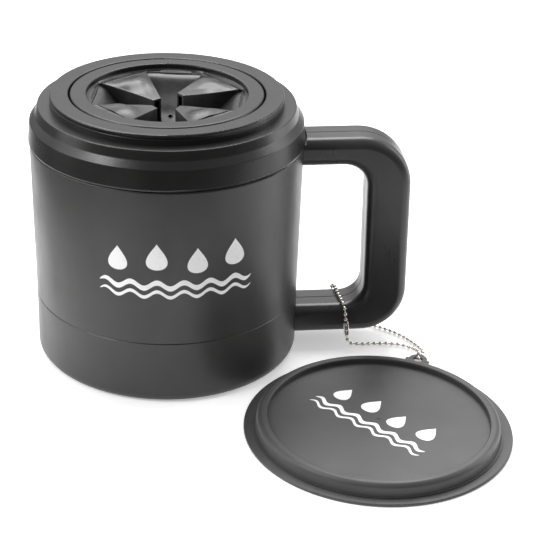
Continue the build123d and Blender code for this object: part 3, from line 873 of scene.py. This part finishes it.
def wave_outline(thickness):
    """A wavy line that tapers at both ends."""
    upper, lower = [], []
    for i in range(WAVE_STEPS + 1):
        share = i / WAVE_STEPS
        x = (share - 0.5) * WAVE_WIDTH
        y = WAVE_HEIGHT * math.sin(2 * math.pi * WAVE_COUNT * share)
        half = thickness / 2 * min(1, 12 * share, 12 * (1 - share)) ** 0.5
        upper.append((x, y + half))
        lower.append((x, y - half))
    return upper, lower


def decoration():
    """Generic water mark, four drops over two wavy lines: each is a strip of facing points."""
    pieces = []
    for x, y, size in DROPS:
        outline = [(x * MM + px, y * MM + py) for px, py in drop_outline(size * MM)]
        half = len(outline) // 2
        pairs = [(outline[i], outline[-i]) for i in range(1, half)]
        strip = [(outline[0], outline[0])] + pairs + [(outline[half], outline[half])]
        pieces.append(strip)
    for y, thickness in WAVES:
        upper, lower = wave_outline(thickness * MM)
        pieces.append([((ux, uy + y * MM), (lx, ly + y * MM))
                       for (ux, uy), (lx, ly) in zip(upper, lower)])
    return pieces


def add_print(name, body, place):
    """Lays the decoration on a surface. place(x, y, lift) gives a point on it or just above."""
    shape = Shape()
    columns = 5
    low = columns + 1         # a row's lower layer starts here
    row_size = 2 * low
    for strip in decoration():
        points, faces = [], []
        for (ax, ay), (bx, by) in strip:
            for layer in (INK_T, -INK_T):
                for i in range(columns + 1):
                    share = i / columns
                    points.append(place(ax + (bx - ax) * share, ay + (by - ay) * share, layer))
        for row in range(len(strip) - 1):
            a, b = row * row_size, (row + 1) * row_size
            for i in range(columns):
                faces.append((a + i, a + i + 1, b + i + 1, b + i))
                faces.append((a + low + i, b + low + i, b + low + i + 1, a + low + i + 1))
            for i in (0, columns):
                faces.append((a + i, b + i, b + low + i, a + low + i))
        shape.add(points, faces)
    piece = shape.finish(name, sharp=50)
    set_material(piece, INK)
    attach(piece, body)
    return piece


PRINT_ANGLE = -87.6       # degrees about the cup's axis
PRINT_Z = 76.0 * MM
LID_PRINT_AT = Vector((0.1053, -0.1030, LID_PLATE_Z))
LID_PRINT_TURN = -48.0    # degrees
LID_PRINT_SCALE = 0.9


def on_sleeve(x, y, lift):
    z = PRINT_Z + y
    radius = BASE_R + (z - SEAM_Z) * BODY_TAPER + lift
    angle = math.radians(PRINT_ANGLE) + x / BASE_R
    return Vector((radius * math.cos(angle), radius * math.sin(angle), z))


def on_lid(x, y, lift):
    turned = Matrix.Rotation(math.radians(LID_PRINT_TURN), 3, "Z") @ Vector((x, y, 0))
    return LID_PRINT_AT + LID_PRINT_SCALE * turned + Vector((0, 0, lift))


# ---------------------------------------------------------------- studio
# beyond the left edge of the floor the sleeve mirrors the dim room
FLOOR_X, FLOOR_Y = (-0.24, 3.0), (-0.30, 1.5)
FLOOR_DROP = 0.05 * MM
FLOOR_GLOW = 0.36
LIGHT_TARGET = (0.02, -0.02, 0.06)
# name, place, width and height, watts
SOFTBOXES = (
    ("softbox_top", (-0.05, 0.65, 1.20), (1.3, 0.7), 22),
    ("softbox_left", (-1.15, -0.05, 0.45), (0.5, 0.9), 3.5),
    ("softbox_right", (1.15, 0.25, 0.45), (0.5, 0.9), 4.5),
    ("softbox_front", (-0.95, -0.42, 1.05), (0.45, 0.45), 9),
)
# axis, its two values, and the strengths there: the room is brighter behind the object than in
# front of it, dim below the horizon, and dim straight overhead
ROOM_RAMPS = (
    ("Y", (-0.9, 0.7, 0.18, 1.2)),
    ("Z", (-0.1, 0.5, 0.2, 1.15)),
    ("Z", (0.75, 1.0, 1.0, 0.35)),
)
BACKDROP = 1.05           # strength of the white that the camera sees


def add_floor():
    (left, right), (front, back) = FLOOR_X, FLOOR_Y
    corners = ((left, front), (right, front), (right, back), (left, back))
    floor = mesh_object("floor", [(x, y, -FLOOR_DROP) for x, y in corners], [(0, 1, 2, 3)])
    n = Nodes("floor_white")
    n.link(n.mixed(n.spread(n.noise(6, detail=2), 0, 1), rgba(0.86), rgba(0.88)), "Base Color")
    n.shader.inputs["Roughness"].default_value = 0.55
    n.shader.inputs["Emission Color"].default_value = (1, 1, 1, 1)
    n.shader.inputs["Emission Strength"].default_value = FLOOR_GLOW
    set_material(floor, n.material)


def add_softbox(name, at, target, size, power):
    data = bpy.data.lights.new(name, "AREA")
    data.shape = "RECTANGLE"
    data.size, data.size_y = size
    data.energy = power
    lamp = bpy.data.objects.new(name, data)
    bpy.context.scene.collection.objects.link(lamp)
    lamp.location = at
    direction = Vector(target) - Vector(at)
    lamp.rotation_euler = direction.to_track_quat("-Z", "Y").to_euler()


def add_world():
    """A white room. The camera sees it as plain white, and the surfaces see its ramps."""
    world = bpy.data.worlds.new("studio")
    bpy.context.scene.world = world
    world.use_nodes = True
    nodes, links = world.node_tree.nodes, world.node_tree.links
    direction = nodes.new("ShaderNodeTexCoord")
    split = nodes.new("ShaderNodeSeparateXYZ")
    links.new(direction.outputs["Generated"], split.inputs[0])
    strengths = []
    for axis, values in ROOM_RAMPS:
        ramp = nodes.new("ShaderNodeMapRange")
        for socket, value in zip(("From Min", "From Max", "To Min", "To Max"), values):
            ramp.inputs[socket].default_value = value
        links.new(split.outputs[axis], ramp.inputs["Value"])
        strengths.append(ramp.outputs[0])
    strength = strengths[0]
    for factor in strengths[1:]:
        product = nodes.new("ShaderNodeMath")
        product.operation = "MULTIPLY"
        links.new(strength, product.inputs[0])
        links.new(factor, product.inputs[1])
        strength = product.outputs[0]
    rays = nodes.new("ShaderNodeLightPath")
    seen = nodes.new("ShaderNodeMix")
    seen.data_type = "FLOAT"
    links.new(rays.outputs["Is Camera Ray"], seen.inputs[0])
    links.new(strength, seen.inputs[2])
    seen.inputs[3].default_value = BACKDROP
    background = nodes["Background"]
    links.new(seen.outputs[0], background.inputs["Strength"])
    background.inputs["Color"].default_value = (1, 1, 1, 1)


def light_studio():
    add_world()
    for name, at, size, power in SOFTBOXES:
        add_softbox(name, at, LIGHT_TARGET, size, power)
    scene = bpy.context.scene
    scene.view_settings.view_transform = "Standard"
    scene.view_settings.look = "None"


# ---------------------------------------------------------------- the scene
add_camera()
chain, chain_path, beads = add_chain()
clasp = add_clasp()
ear_link = add_ear_link(beads[0], beads[-1])
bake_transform(chain)
for part in frame["record"]["subparts"]:
    set_material(NODES[part["node"]], MATERIALS[part["material_slot"]])
for flap_number in range(1, 5):
    add_petal(flap_number)
    add_flap(flap_number)
    add_bristles(flap_number, random.Random(flap_number))
add_guard_web()
add_print("sleeve_print", "cup", on_sleeve)
add_print("lid_print", "lid", on_lid)
add_floor()
light_studio()
